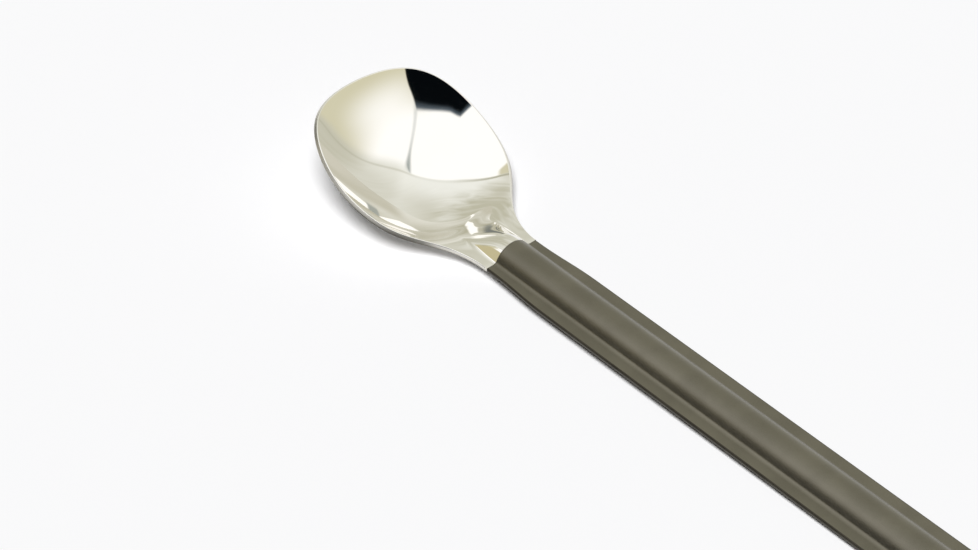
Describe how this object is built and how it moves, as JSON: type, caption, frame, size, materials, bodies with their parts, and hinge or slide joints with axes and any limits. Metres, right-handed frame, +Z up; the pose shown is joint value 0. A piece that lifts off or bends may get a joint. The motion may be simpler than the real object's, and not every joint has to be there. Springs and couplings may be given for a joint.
{
  "type": "long-handled spoon",
  "caption": "Long-handled eating spoon pressed from thin titanium sheet, with a polished egg-shaped bowl and a matte ribbed handle that ends in a hanging hole.",
  "frame": {"origin": "on the table, under the middle of the spoon's length and width", "axes": "+X along the spoon from the handle's end to the bowl's tip, +Z up out of the open bowl, Y across"},
  "size_m": [0.218, 0.0376, 0.019],
  "materials": {
    "polished_titanium": "mirror polished",
    "blasted_titanium": "matte, bead blasted"
  },
  "bodies": {
    "root": {"bowl": "polished_titanium", "handle": "blasted_titanium"}
  },
  "joints": []
}
